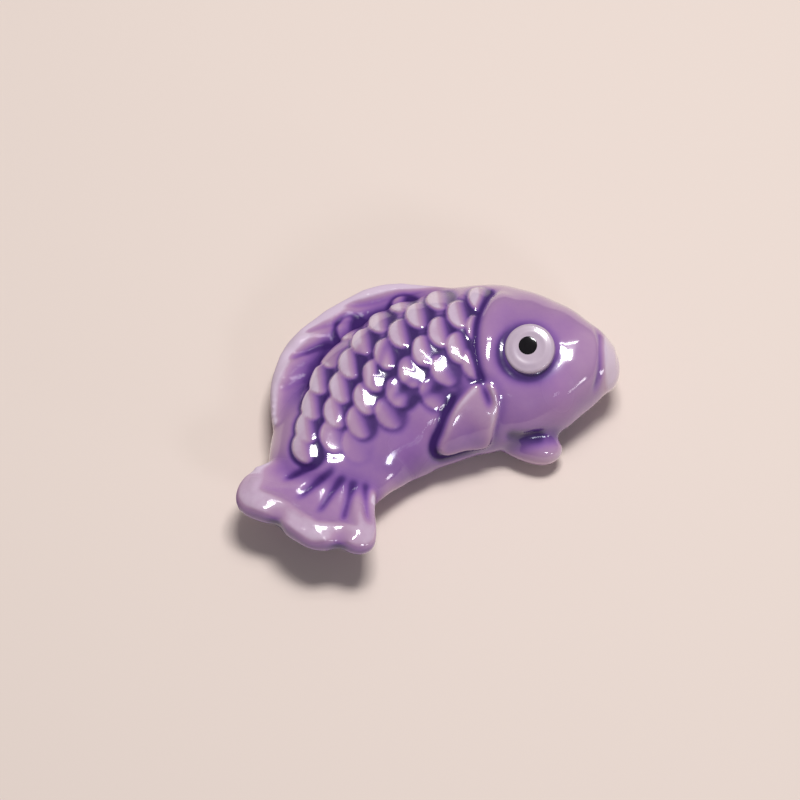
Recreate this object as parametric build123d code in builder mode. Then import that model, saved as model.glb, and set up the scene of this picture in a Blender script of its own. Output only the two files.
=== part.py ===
import math
import os

from build123d import *

os.makedirs("parts", exist_ok=True)

# Chopstick rest: a glazed ceramic carp that lies on its side, its tail curled up behind a low saddle.
# Millimetres. +Z is up, +X points to the head and +Y to the back of the fish. The origin lies on the
# table, in the middle of the foot, where the spine runs along X.

# Spine, seen from above: an arc from the tail root to the gill, then a straight line to the snout
spine_radius = 27.3
tail_root_angle = 134.6
gill_angle = 57.4
head_length = 18.1

# Body: half its depth from belly to back, and its height over the table
body_half = 13.8
body_height = 16.6
# Stations from the buried tail end to the snout. Shares of the fish's length, of body_half, of
# body_height for the crown, the widest line and the keel, and of body_half for a shift to the back. The
# table cuts off what lies below it, and leaves the flat foot
station_shares = [
    (-0.10, 0.42, 0.55, 0.50, 0.43, 0.00),
    (-0.05, 0.54, 0.52, 0.42, 0.30, 0.00),
    (0.00, 0.62, 0.565, 0.36, 0.18, 0.00),
    (0.055, 0.72, 0.64, 0.335, 0.08, 0.00),
    (0.11, 0.80, 0.72, 0.31, 0.00, 0.00),
    (0.20, 0.90, 0.82, 0.285, -0.06, 0.00),
    (0.31, 0.965, 0.91, 0.275, -0.10, 0.00),
    (0.44, 1.01, 0.97, 0.275, -0.11, 0.00),
    (0.565, 1.02, 1.00, 0.285, -0.11, 0.02),
    (0.67, 1.005, 1.00, 0.295, -0.09, 0.03),
    (0.77, 0.895, 0.99, 0.335, -0.02, 0.02),
    (0.855, 0.75, 0.975, 0.37, 0.07, 0.01),
    (0.92, 0.60, 0.93, 0.405, 0.155, 0.01),
    (0.965, 0.45, 0.84, 0.425, 0.245, 0.02),
    (0.997, 0.26, 0.68, 0.45, 0.32, 0.03),
]
section_count = 31

# Scales: tilted discs whose tail side stands proud of the flank
scale_radius = 2.4
scale_thickness = 1.6
scale_rise = 0.2
scale_tilt = 15.0
scale_facing = 163.0
# Each row curves from the back towards the belly and the tail: its first, middle and last place, as
# shares of the fish's length and of body_half, and the number of its scales
scale_row_shares = [
    ((0.350, 0.910), (0.185, 0.510), (0.057, 0.266), 6),
    ((0.464, 0.876), (0.283, 0.412), (0.107, 0.039), 7),
    ((0.535, 0.704), (0.332, 0.152), (0.111, -0.226), 8),
    ((0.624, 0.593), (0.452, 0.020), (0.256, -0.328), 7),
    ((0.613, 0.141), (0.518, -0.165), (0.423, -0.456), 4),
    ((0.589, -0.278), (0.589, -0.278), (0.589, -0.278), 1),
]

# Grooves in the skin: the gill line and the ring round the eye
groove_width = 0.9
groove_depth = 0.6
gill_radius = 19.1
gill_ahead = 15.6
gill_side = 0.5
gill_span = 62.0

# Eye: a domed button in a flat-bottomed socket, with the pupil let into its top
eye_ahead = 4.4
eye_side = -1.1
eye_radius = 3.9
eye_dome = 1.3
eye_rim = 0.5
eye_depth = 1.4
pupil_radius = 1.5
pupil_depth = 0.5
pupil_rise = 0.12
pupil_ahead = -0.5
pupil_side = 0.4

# Lips: a rounded bead across the snout
lip_thickness = 3.6
lip_breadth = 8.8
lip_height = 7.2
lip_share = 0.977
lip_level_share = 0.47

# Tail fin: a thick plate that rises from the tail root, with three lobes and a rounded upper rim. Its
# corners are shares of its length and of its half width, and each but the first and the last is rounded
tail_length = 12.9
tail_half = 12.3
tail_thickness = 3.6
tail_rim_radius = 1.8
tail_bevel = 1.0
tail_rise_angle = 18.4
tail_level = 6.5
tail_corner_shares = [
    (-0.16, 0.52),
    (0.29, 1.06),
    (0.75, 0.96),
    (0.80, 0.45),
    (1.05, -0.10),
    (0.93, -0.46),
    (0.95, -1.00),
    (-0.16, -0.56),
]
tail_corner_radii = [5.0, 3.6, 6.0, 4.0, 6.0, 3.0]

# Rays: flutes with tapered ends that fan out over the tail from one point ahead of its root
ray_count = 5
ray_length = 8.0
ray_radius = 1.0
ray_depth = 0.5
ray_apex_share = -0.41
ray_apex_side_share = -0.36
ray_middle = 9.0
ray_first_angle = 50.0
ray_step_angle = 17.5

# Dorsal fin: a thick frill along the back, with a rounded outer rim and creases between its pleats. Its
# corners are shares of the fish's length and of body_half, and each but the first and the last is rounded
frill_thickness = 4.4
frill_level = 5.9
frill_rim_radius = 1.8
frill_bevel = 1.0
frill_corner_shares = [
    (0.66, 0.94),
    (0.54, 1.10),
    (0.455, 1.36),
    (0.355, 1.35),
    (0.258, 1.345),
    (0.155, 1.14),
    (0.09, 0.76),
]
frill_corner_radii = [20.0, 9.0, 24.0, 9.0, 20.0]
frill_root_share = 0.55
crease_length = 9.0
crease_radius = 1.5
crease_depth = 0.9
crease_turn = 18.0
crease_shares = [(0.42, 1.215), (0.324, 1.15), (0.262, 1.02)]

# Pectoral fin: a petal that stands proud of the flank behind the gill
petal_rise = 1.0
petal_along_share = 0.525
petal_side_share = -0.765
petal_level = 11.6
petal_slope = 44.0
petal_length = 10.4
petal_height = 11.4
petal_reach = 6.0
petal_outline_shares = [(0.36, 0.44), (-0.06, 0.29), (-0.39, -0.09), (-0.52, -0.38)]
petal_lower_shares = [(0.24, -0.50), (0.36, -0.21), (0.48, 0.17)]

# Pelvic fin: a short lobe at the edge of the belly, a drop with its round head towards the fish's own
lobe_length = 11.4
lobe_head_radius = 2.7
lobe_rear_radius = 1.5
lobe_turn = 5.0
lobe_along_share = 0.75
lobe_side_share = -0.89
lobe_level = 3.4

overrun = 5.0

arc_length = spine_radius * math.radians(tail_root_angle - gill_angle)
fish_length = arc_length + head_length


# Plane across the fish at a length along its spine: local X to the back, local Y up, Z to the head
def spine_plane(along):
    on_arc = min(max(along, 0), arc_length)
    turn = math.radians(tail_root_angle) - on_arc / spine_radius
    back = Vector(math.cos(turn), math.sin(turn), 0)
    ahead = Vector(math.sin(turn), -math.cos(turn), 0)
    middle = Vector(0, -spine_radius, 0) + back * spine_radius + ahead * (along - on_arc)
    return Plane(origin=middle, x_dir=back, z_dir=ahead)


# Point at a share of the fish's length and of body_half, at a level over the table
def fish_point(along_share, side_share, level=0):
    return spine_plane(along_share * fish_length).from_local_coords((side_share * body_half, level, 0))


# Level plane at such a point, with local X along the fish to its head
def level_plane(along_share, side_share, level):
    ahead = spine_plane(along_share * fish_length).z_dir
    return Plane(fish_point(along_share, side_share, level), x_dir=ahead, z_dir=(0, 0, 1))


# Slope of a column of the stations at one of them, from those beside it
def station_slope(column, number):
    before = station_shares[max(number - 1, 0)]
    after = station_shares[min(number + 1, len(station_shares) - 1)]
    return (after[column] - before[column]) / (after[0] - before[0])


# Value of such a column at a share of the fish's length, on a smooth curve through the stations
def station_value(column, along):
    number = max(n for n, station in enumerate(station_shares[:-1]) if station[0] <= along)
    start, end = station_shares[number], station_shares[number + 1]
    span = end[0] - start[0]
    way = (along - start[0]) / span
    leaving = way * (1 - way) ** 2 * span * station_slope(column, number)
    arriving = way**2 * (way - 1) * span * station_slope(column, number + 1)
    return start[column] + way**2 * (3 - 2 * way) * (end[column] - start[column]) + leaving + arriving


# The fish without its details, grown or shrunk all over by a rise, down to the table. Close sections with
# straight skin between them keep its faces plain
def fish_form(rise):
    first, last = station_shares[0][0], station_shares[-1][0]
    with BuildPart() as form:
        for number in range(section_count):
            along = first + (last - first) * number / (section_count - 1)
            half, crown, widest, keel, shift = [station_value(column, along) for column in range(1, 6)]
            middle = (shift * body_half, widest * body_height)
            with BuildSketch(spine_plane(along * fish_length)):
                with BuildLine():
                    half_width = half * body_half + rise
                    above = (crown - widest) * body_height + rise
                    below = (widest - keel) * body_height + rise
                    EllipticalCenterArc(middle, half_width, above, 0, arc_size=180)
                    EllipticalCenterArc(middle, half_width, below, 180, arc_size=180)
                make_face()
        loft(ruled=True)
        split(bisect_by=Plane.XY, keep=Keep.TOP)
    return form.part


# Plane that touches the skin over a point of the plan, with local X along a facing in degrees
def skin_plane(form, place, facing):
    over = Axis((place.X, place.Y, 0), (0, 0, 1))
    point, normal = max(form.find_intersection_points(over), key=lambda hit: hit[0].Z)
    heading = Vector(math.cos(math.radians(facing)), math.sin(math.radians(facing)), 0)
    return Plane(origin=point, x_dir=heading - normal * heading.dot(normal), z_dir=normal)


# Drop of a length along X, round at both ends, that is widest near its head at the far end
def drop_bar(length, head_radius, rear_radius):
    head = length / 2 - head_radius
    rear = rear_radius - length / 2
    lean = math.asin((head_radius - rear_radius) / (head - rear))
    head_touch = (head + head_radius * math.sin(lean), head_radius * math.cos(lean))
    rear_touch = (rear + rear_radius * math.sin(lean), rear_radius * math.cos(lean))
    with BuildPart() as bar:
        with BuildSketch(Plane.XY):
            with BuildLine():
                RadiusArc((-length / 2, 0), rear_touch, rear_radius)
                Line(rear_touch, head_touch)
                RadiusArc(head_touch, (length / 2, 0), head_radius)
                Line((length / 2, 0), (-length / 2, 0))
            make_face()
        revolve(axis=Axis.X)
    return bar.part


# Bar of a length and a radius along X, with ends that taper to a point over a third of its length
def tapered_bar(length, radius):
    tip = length / 2
    straight = length / 6
    with BuildPart() as bar:
        with BuildSketch(Plane.XY):
            with BuildLine():
                Polyline((-tip, 0), (-straight, radius), (straight, radius), (tip, 0), close=True)
            make_face()
        revolve(axis=Axis.X)
    return bar.part


# Place on the curve through a row's first, middle and last places, a share of the way along it
def row_place(first, middle, last, way):
    weights = ((1 - way) * (1 - 2 * way), 4 * way * (1 - way), way * (2 * way - 1))
    return [sum(w * end[axis] for w, end in zip(weights, (first, middle, last))) for axis in (0, 1)]


skin = fish_form(0)

# One scale, its top at Z 0, and the coat of them
with BuildPart() as scale_disc:
    with BuildSketch(Plane.XY):
        Circle(scale_radius)
    extrude(amount=-scale_thickness)

scale_places = []
for first, middle, last, count in scale_row_shares:
    for number in range(count):
        along, side = row_place(first, middle, last, number / max(count - 1, 1))
        seat = skin_plane(skin, fish_point(along, side), scale_facing)
        scale_places.append(seat.location * Location((0, 0, scale_rise), (0, -scale_tilt, 0)))
with BuildPart() as scales:
    for place in scale_places:
        with Locations(place):
            add(scale_disc.part)

gill_plane = spine_plane(arc_length)
eye_seat = gill_plane.from_local_coords((eye_side, 0, eye_ahead))
eye_plane = skin_plane(skin, eye_seat, gill_angle - 90)
pupil_plane = Plane(
    eye_plane.from_local_coords((pupil_ahead, pupil_side, eye_rim + eye_dome - pupil_depth)),
    x_dir=eye_plane.x_dir,
    z_dir=eye_plane.z_dir,
)

gill_middle = gill_plane.from_local_coords((gill_side, 0, gill_ahead))
with BuildLine() as gill_path:
    CenterArc(gill_middle, gill_radius, gill_angle + 90 - gill_span / 2, gill_span)

# Rings that stand through the skin where the gill line and the eye's groove are cut
with BuildPart() as groove_rings:
    with BuildSketch(Plane.XY):
        SlotArc(gill_path.edges()[0], groove_width)
    extrude(amount=body_height + overrun)
    with BuildSketch(eye_plane.offset(-overrun)):
        Circle(eye_radius + groove_width)
        Circle(eye_radius, mode=Mode.SUBTRACT)
    extrude(amount=2 * overrun)
    add(fish_form(-groove_depth), mode=Mode.SUBTRACT, clean=False)

snout = spine_plane(lip_share * fish_length)
lip_middle = fish_point(lip_share, 0, lip_level_share * body_height)
lips = scale(Sphere(1), by=(lip_breadth / 2, lip_height / 2, lip_thickness / 2))

# Body, with its scales and lips
with BuildPart() as body:
    add(skin)
    add(scales.part, clean=False)
    with Locations(Plane(lip_middle, x_dir=snout.x_dir, z_dir=snout.z_dir)):
        add(lips, clean=False)
    add(groove_rings.part, mode=Mode.SUBTRACT, clean=False)
    with BuildSketch(eye_plane.offset(-eye_depth)):
        Circle(eye_radius)
    extrude(amount=2 * overrun, mode=Mode.SUBTRACT, clean=False)
body.part.label = "body"
export_step(body.part, "parts/body.step")

# Eye, with the socket for the pupil
eye_curve = (eye_radius**2 + eye_dome**2) / (2 * eye_dome)
with BuildPart() as eye:
    with BuildSketch(Plane(eye_plane.origin, x_dir=eye_plane.x_dir, z_dir=-eye_plane.y_dir)):
        with BuildLine():
            Line((0, eye_rim + eye_dome), (0, -eye_depth))
            Line((0, -eye_depth), (eye_radius, -eye_depth))
            Line((eye_radius, -eye_depth), (eye_radius, eye_rim))
            RadiusArc((eye_radius, eye_rim), (0, eye_rim + eye_dome), -eye_curve)
        make_face()
    revolve(axis=Axis(eye_plane.origin, eye_plane.z_dir))
    with BuildSketch(pupil_plane):
        Circle(pupil_radius)
    extrude(amount=overrun, mode=Mode.SUBTRACT)
eye.part.label = "eye"
export_step(eye.part, "parts/eye.step")

with BuildPart() as pupil:
    with BuildSketch(pupil_plane):
        Circle(pupil_radius)
    extrude(amount=pupil_depth + pupil_rise)
pupil.part.label = "pupil"
export_step(pupil.part, "parts/pupil.step")

# Tail fin
tail_root = spine_plane(0)
tail_slope = math.radians(tail_rise_angle)
tailward = tail_root.z_dir * -math.cos(tail_slope) + Vector(0, 0, math.sin(tail_slope))
tail_plane = Plane(fish_point(0, 0, tail_level), x_dir=tailward, z_dir=tail_root.x_dir.cross(tailward))
tail_corners = [(along * tail_length, -side * tail_half) for along, side in tail_corner_shares]
with BuildPart() as tail_fin:
    with BuildSketch(tail_plane):
        with BuildLine():
            FilletPolyline(*tail_corners, radius=tail_corner_radii)
            Line(tail_corners[-1], tail_corners[0])
        make_face()
    extrude(amount=tail_thickness / 2, both=True)
    upward = Axis(tail_plane.origin, tail_plane.z_dir)
    outward = Axis(tail_plane.origin, tail_plane.x_dir)
    upper_rim = tail_fin.faces().sort_by(upward)[-1].edges().sort_by(outward)[1:]
    fillet(upper_rim, radius=tail_rim_radius)
    lower_rim = tail_fin.faces().sort_by(upward)[0].edges().sort_by(outward)[1:]
    chamfer(lower_rim, length=tail_bevel)
    for ray in range(ray_count):
        heading = math.radians(ray_first_angle - ray * ray_step_angle)
        along = ray_apex_share * tail_length + ray_middle * math.cos(heading)
        across = -ray_apex_side_share * tail_half - ray_middle * math.sin(heading)
        above = tail_thickness / 2 + ray_radius - ray_depth
        ray_place = Location((along, across, above), (0, 0, -math.degrees(heading)))
        with Locations(tail_plane.location * ray_place):
            add(tapered_bar(ray_length, ray_radius), mode=Mode.SUBTRACT)
    add(body.part, mode=Mode.SUBTRACT, clean=False)
tail_fin.part.label = "tail_fin"
export_step(tail_fin.part, "parts/tail_fin.step")

# Dorsal fin. The three edges of its root, nearest the middle of the spine's arc, stay sharp
frill_corners = [fish_point(along, side) for along, side in frill_corner_shares]
front_share = frill_corner_shares[0][0]
rear_share = frill_corner_shares[-1][0]
root_shares = (rear_share, (front_share + rear_share) / 2, front_share)
root_points = [fish_point(share, frill_root_share) for share in root_shares]
spine_middle = Vector(0, -spine_radius, 0)
with BuildPart() as dorsal_fin:
    with BuildSketch(Plane.XY.offset(frill_level - frill_thickness / 2)):
        with BuildLine():
            FilletPolyline(*frill_corners, radius=frill_corner_radii)
            Line(frill_corners[-1], root_points[0])
            ThreePointArc(*root_points)
            Line(root_points[-1], frill_corners[0])
        make_face()
    extrude(amount=frill_thickness)
    upper_rim = dorsal_fin.faces().sort_by(Axis.Z)[-1].edges().sort_by_distance(spine_middle)[3:]
    fillet(upper_rim, radius=frill_rim_radius)
    lower_rim = dorsal_fin.faces().sort_by(Axis.Z)[0].edges().sort_by_distance(spine_middle)[3:]
    chamfer(lower_rim, length=frill_bevel)
    crease_level = frill_level + frill_thickness / 2 + crease_radius - crease_depth
    for along, side in crease_shares:
        crease_place = level_plane(along, side, crease_level).location
        with Locations(crease_place * Location((0, 0, 0), (0, 0, -crease_turn))):
            add(tapered_bar(crease_length, crease_radius), mode=Mode.SUBTRACT)
    add(body.part, mode=Mode.SUBTRACT, clean=False)
dorsal_fin.part.label = "dorsal_fin"
export_step(dorsal_fin.part, "parts/dorsal_fin.step")

# Pectoral fin
across = spine_plane(petal_along_share * fish_length)
slope = math.radians(petal_slope)
outward = across.x_dir * -math.cos(slope) + Vector(0, 0, math.sin(slope))
petal_middle = fish_point(petal_along_share, petal_side_share, petal_level)
petal_plane = Plane(petal_middle, x_dir=across.z_dir, z_dir=outward)
upper = [(along * petal_length, up * petal_height) for along, up in petal_outline_shares]
lower = [(along * petal_length, up * petal_height) for along, up in petal_lower_shares]
with BuildPart() as pectoral_fin:
    with BuildSketch(petal_plane.offset(-petal_reach)):
        with BuildLine():
            Spline(*upper)
            Line(upper[-1], lower[0])
            Spline(*lower, upper[0])
        make_face()
    extrude(amount=2 * petal_reach)
    add(fish_form(petal_rise), mode=Mode.INTERSECT, clean=False)
    add(body.part, mode=Mode.SUBTRACT, clean=False)
pectoral_fin.part.label = "pectoral_fin"
export_step(pectoral_fin.part, "parts/pectoral_fin.step")

# Pelvic fin
with BuildPart() as pelvic_fin:
    lobe_place = level_plane(lobe_along_share, lobe_side_share, lobe_level).location
    with Locations(lobe_place * Location((0, 0, 0), (0, 0, -lobe_turn))):
        add(drop_bar(lobe_length, lobe_head_radius, lobe_rear_radius))
    add(body.part, mode=Mode.SUBTRACT, clean=False)
pelvic_fin.part.label = "pelvic_fin"
export_step(pelvic_fin.part, "parts/pelvic_fin.step")
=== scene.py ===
import math

import bmesh
import bpy
import numpy as np
from mathutils import Matrix, Vector
from mathutils.bvhtree import BVHTree


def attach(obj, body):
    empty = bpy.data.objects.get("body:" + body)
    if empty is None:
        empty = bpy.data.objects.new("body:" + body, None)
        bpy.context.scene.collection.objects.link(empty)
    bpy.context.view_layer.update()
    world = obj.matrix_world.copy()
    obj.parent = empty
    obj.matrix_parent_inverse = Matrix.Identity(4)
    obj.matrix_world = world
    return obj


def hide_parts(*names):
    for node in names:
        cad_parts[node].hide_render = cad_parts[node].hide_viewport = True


# A glazed carp that lies on its side. Shapes are made in millimetres and brought to metres at the end.
# "along" runs from the tail root to the snout, "side" from the belly (-) to the back (+). In the settings a
# fade is a pair, from none to all, and a stripe is a three: its amount, where it lies and its width.
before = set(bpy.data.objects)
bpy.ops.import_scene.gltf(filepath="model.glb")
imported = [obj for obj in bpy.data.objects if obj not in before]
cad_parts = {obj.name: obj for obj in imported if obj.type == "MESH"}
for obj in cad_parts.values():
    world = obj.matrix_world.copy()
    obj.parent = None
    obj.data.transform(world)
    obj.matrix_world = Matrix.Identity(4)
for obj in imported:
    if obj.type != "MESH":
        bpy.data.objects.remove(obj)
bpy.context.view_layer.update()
print("frame loaded:", sorted(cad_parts))

scene = bpy.context.scene
scene.view_settings.view_transform = "Standard"

millimetre = 0.001
fish = {
    "spineRadius": 27.3,
    "tailRootAngle": 134.6,
    "gillAngle": 57.4,
    "headLength": 18.1,
    "bodyHalf": 13.8,
    "bodyHeight": 16.6,
}
arcLength = fish["spineRadius"] * math.radians(fish["tailRootAngle"] - fish["gillAngle"])
fishLength = arcLength + fish["headLength"]


def smoothStep(low, high, value):
    t = np.clip((value - low) / (high - low), 0, 1)
    return t * t * (3 - 2 * t)


def bell(value, width):
    return np.exp(-((value / width) ** 2))


def stripe(line, gap):
    amount, at, width = line
    return amount * bell(gap - at, width)


def within(ranges, **values):
    # 1 where every value is past its range, fading over the range
    share = 1.0
    for key, value in values.items():
        share = share * smoothStep(*ranges[key], value)
    return share


def between(ends, value):
    # 1 in the middle of a stretch, fading over both of its ends
    first, last = ends
    return smoothStep(*first, value) * smoothStep(*last, value)


def smoothTable(x, xs, ys):
    # smooth curve through a table of values
    xs, ys, x = np.asarray(xs, float), np.asarray(ys, float), np.asarray(x, float)
    slope = np.gradient(ys, xs)
    i = np.clip(np.searchsorted(xs, x) - 1, 0, len(xs) - 2)
    h = xs[i + 1] - xs[i]
    t = (x - xs[i]) / h
    here = (2 * t**3 - 3 * t**2 + 1) * ys[i] + (t**3 - 2 * t**2 + t) * h * slope[i]
    there = (3 * t**2 - 2 * t**3) * ys[i + 1] + (t**3 - t**2) * h * slope[i + 1]
    return here + there


def smoothOutline(points, count, closed=True):
    # even points on a rounded curve through the given ones
    pts = np.array(points, float)
    wrap = 3  # places repeated past the join of a closed line
    if closed:
        pts = np.vstack([pts[-wrap:], pts, pts[:wrap]])
    steps = np.concatenate([[0], np.cumsum(np.linalg.norm(np.diff(pts, axis=0), axis=1))])
    first, last = (steps[wrap], steps[len(points) + wrap]) if closed else (0, steps[-1])
    at = np.linspace(first, last, count, endpoint=not closed)
    return np.stack([smoothTable(at, steps, pts[:, k]) for k in range(pts.shape[1])], axis=1)


def spineFrame(along):
    # middle of the fish there, and the directions to its back and its head
    onArc = min(max(along, 0), arcLength)
    turn = math.radians(fish["tailRootAngle"]) - onArc / fish["spineRadius"]
    back = Vector((math.cos(turn), math.sin(turn), 0))
    ahead = Vector((math.sin(turn), -math.cos(turn), 0))
    middle = Vector((0, -fish["spineRadius"], 0)) + back * fish["spineRadius"] + ahead * (along - onArc)
    return middle, back, ahead


def fishPoint(along, side, level=0.0):
    middle, back, ahead = spineFrame(along)
    return middle + back * side + Vector((0, 0, level))


def fishCoords(points):
    # along and side of every point
    x, y = points[:, 0], points[:, 1] + fish["spineRadius"]
    angle = np.degrees(np.arctan2(y, x))
    along = fish["spineRadius"] * np.radians(fish["tailRootAngle"] - angle)
    side = np.hypot(x, y) - fish["spineRadius"]
    for end, past in ((0.0, angle > fish["tailRootAngle"]), (arcLength, angle < fish["gillAngle"])):
        middle, back, ahead = spineFrame(end)
        offset = points[:, :2] - np.array(middle[:2])
        along = np.where(past, end + offset @ np.array(ahead[:2]), along)
        side = np.where(past, offset @ np.array(back[:2]), side)
    return along, side


def finishPiece(obj, body, slotName, *nodes):
    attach(obj, body)
    if nodes:
        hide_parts(*nodes)


def objectFrom(bm, name):
    mesh = bpy.data.meshes.new(name)
    bm.to_mesh(mesh)
    bm.free()
    obj = bpy.data.objects.new(name, mesh)
    scene.collection.objects.link(obj)
    return obj


def roundedCorners(corners, radii, count, cornerSteps=12):
    # even points on a run of straight lines whose inner corners are rounded
    pts = [np.array(c, float) for c in corners]
    run = [pts[0]]
    for before, corner, after, radius in zip(pts[:-2], pts[1:-1], pts[2:], radii):
        inward = (before - corner) / np.linalg.norm(before - corner)
        outward = (after - corner) / np.linalg.norm(after - corner)
        halfTurn = (math.pi - math.acos(float(np.clip(inward @ outward, -1, 1)))) / 2
        middle = (inward + outward) / np.linalg.norm(inward + outward)
        centre = corner + middle * radius / math.cos(halfTurn)
        across = np.array((-middle[1], middle[0]))
        across *= math.copysign(1, across @ outward)
        for turn in np.linspace(-halfTurn, halfTurn, cornerSteps):
            run.append(centre - radius * (middle * math.cos(turn) - across * math.sin(turn)))
    run.append(pts[-1])
    steps = np.concatenate([[0], np.cumsum(np.linalg.norm(np.diff(run, axis=0), axis=1))])
    at = np.linspace(0, steps[-1], count)
    return np.stack([np.interp(at, steps, [q[k] for q in run]) for k in (0, 1)], axis=1)


# Body: rings along the spine. Shares of the length, of bodyHalf, then of bodyHeight for the crown,
# the widest line and the keel, and of bodyHalf for a shift to the back
body = {
    "rings": 120,
    "ringPoints": 96,
    "stations": [
        (-0.10, 0.42, 0.55, 0.50, 0.43, 0.00),
        (-0.05, 0.54, 0.52, 0.42, 0.30, 0.00),
        (0.00, 0.62, 0.565, 0.36, 0.18, 0.00),
        (0.055, 0.72, 0.64, 0.335, 0.08, 0.00),
        (0.11, 0.80, 0.72, 0.31, 0.00, 0.00),
        (0.20, 0.90, 0.82, 0.285, -0.06, 0.00),
        (0.31, 0.965, 0.91, 0.275, -0.10, 0.00),
        (0.44, 1.01, 0.97, 0.275, -0.11, 0.00),
        (0.565, 1.02, 1.00, 0.285, -0.11, 0.02),
        (0.67, 1.005, 1.00, 0.295, -0.09, 0.03),
        (0.77, 0.895, 0.99, 0.335, -0.02, 0.02),
        (0.855, 0.735, 0.975, 0.37, 0.07, 0.015),
        (0.92, 0.52, 0.93, 0.405, 0.155, 0.02),
        (0.965, 0.35, 0.84, 0.425, 0.245, 0.03),
        (0.997, 0.22, 0.68, 0.45, 0.32, 0.03),
    ],
}


def bodySection(share):
    # half width, crown, widest level, keel and shift to the back in millimetres
    table = np.array(body["stations"])
    values = [float(smoothTable(share, table[:, 0], table[:, k])) for k in range(1, 6)]
    height, half = fish["bodyHeight"], fish["bodyHalf"]
    return [value * unit for value, unit in zip(values, (half, height, height, height, half))]


def makeBody(bm):
    firstShare, lastShare = body["stations"][0][0], body["stations"][-1][0]
    previous = None
    for share in np.linspace(firstShare, lastShare, body["rings"]):
        half, crown, widest, keel, shift = bodySection(share)
        middle, back, ahead = spineFrame(share * fishLength)
        ring = bmesh.ops.create_circle(bm, segments=body["ringPoints"], radius=1)["verts"]
        for v in ring:
            reach = crown - widest if v.co.y > 0 else widest - keel
            v.co = middle + back * (shift + half * v.co.x) + Vector((0, 0, widest + reach * v.co.y))
        edges = list({e for v in ring for e in v.link_edges})
        if previous:
            bmesh.ops.bridge_loops(bm, edges=previous + edges)
        previous = edges
    bmesh.ops.holes_fill(bm, edges=[e for e in bm.edges if e.is_boundary])
    bmesh.ops.recalc_face_normals(bm, faces=bm.faces)
    cut = bm.verts[:] + bm.edges[:] + bm.faces[:]
    bmesh.ops.bisect_plane(bm, geom=cut, plane_co=(0, 0, 0), plane_no=(0, 0, 1), clear_inner=True)
    bmesh.ops.holes_fill(bm, edges=[e for e in bm.edges if e.is_boundary])


def addPlate(bm, outline, place, thickness, upperRadius, lowerRadius, steps=6):
    # flat plate on an outline, with rounded upper and lower rims
    made = bmesh.ops.create_circle(bm, segments=len(outline), radius=1, cap_ends=True)["verts"]
    for v, (x, y) in zip(made, outline):
        v.co = (x, y, -thickness / 2)
    lower = [f for f in made[0].link_faces if len(f.verts) == len(outline)]
    grown = bmesh.ops.extrude_face_region(bm, geom=lower)["geom"]
    top = [g for g in grown if isinstance(g, bmesh.types.BMVert)]
    for v in top:
        v.co.z = thickness / 2
    topSet = set(top)
    upperRim = [e for e in {e for v in top for e in v.link_edges} if set(e.verts) <= topSet]
    lowSet = set(made)
    lowerRim = [e for e in {e for v in made for e in v.link_edges} if set(e.verts) <= lowSet]
    for rim, radius in ((upperRim, upperRadius), (lowerRim, lowerRadius)):
        bmesh.ops.bevel(
            bm, geom=rim, offset=radius, affect="EDGES", segments=steps, profile=0.5, material=-1
        )
    bmesh.ops.transform(bm, matrix=place, verts=bm.verts)
    bmesh.ops.recalc_face_normals(bm, faces=bm.faces)


# Tail fin: a rising plate with three lobes, and a rim rolled up round a shallow dish with rays and folds
tail = {
    "length": 12.9,
    "half": 12.3,
    "thickness": 3.7,
    "upperRim": 1.7,
    "lowerRim": 1.2,
    "rise": 18.4,
    "level": 6.5,
    "corners": [
        (-0.16, 0.52),
        (0.29, 1.06),
        (0.75, 0.96),
        (0.80, 0.45),
        (1.05, -0.10),
        (0.93, -0.46),
        (0.95, -1.00),
        (-0.16, -0.56),
    ],
    "radii": [5.0, 3.6, 6.0, 4.0, 6.0, 3.0],
    "outlinePoints": 150,
    "roll": (0.5, 2.9, 1.05),
    "dish": (-0.22, 5.4, 1.7),
    "rimEnds": ((0.08, 0.2), (0.95, 0.85)),
    "rays": 5,
    "rayMiddle": 9.6,
    "rayLength": 9.2,
    "rayWidth": 0.6,
    "rayDepth": 0.45,
    "rayApex": (-0.41, -0.36),
    "rayFirst": 50.0,
    "rayStep": 17.5,
    "rayLeadIn": 4.0,
    "rayRunOut": 2.5,
    "folds": [((11.0, 5.0), 190.0), ((12.4, -5.6), 175.0)],
    "foldDepth": 0.5,
    "foldWidth": 1.3,
    "foldFade": (3.5, 0.5),
    "facing": (0.35, 0.8),
    "root": (-1.0, 0.5),
}
tailMiddle, tailBack, tailAhead = spineFrame(0)
tailSlope = math.radians(tail["rise"])
tailward = tailAhead * -math.cos(tailSlope) + Vector((0, 0, math.sin(tailSlope)))
tailUp = tailward.cross(-tailBack).normalized()
tailOrigin = tailMiddle + Vector((0, 0, tail["level"]))
tailPlace = Matrix.Translation(tailOrigin) @ Matrix((tailward, tailBack, tailUp)).transposed().to_4x4()
tailCorners = [(along * tail["length"], side * tail["half"]) for along, side in tail["corners"]]
tailOutline = roundedCorners(tailCorners, tail["radii"], tail["outlinePoints"])

# Dorsal fin: a thick frill along the back
frill = {
    "thickness": 4.4,
    "level": 5.9,
    "upperRim": 1.8,
    "lowerRim": 1.2,
    "corners": [
        (0.66, 0.94),
        (0.54, 1.10),
        (0.455, 1.36),
        (0.355, 1.35),
        (0.258, 1.345),
        (0.155, 1.14),
        (0.09, 0.76),
    ],
    "radii": [20.0, 9.0, 24.0, 9.0, 20.0],
    "root": [(0.09, 0.55), (0.375, 0.55), (0.66, 0.55)],
    "outerPoints": 90,
    "rootPoints": 30,
    "slope": 0.2,
}

# Lips: a flat ball at the snout
lips = {"share": 0.977, "level": 7.8, "breadth": 7.6, "height": 7.2, "thickness": 3.6}

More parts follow.
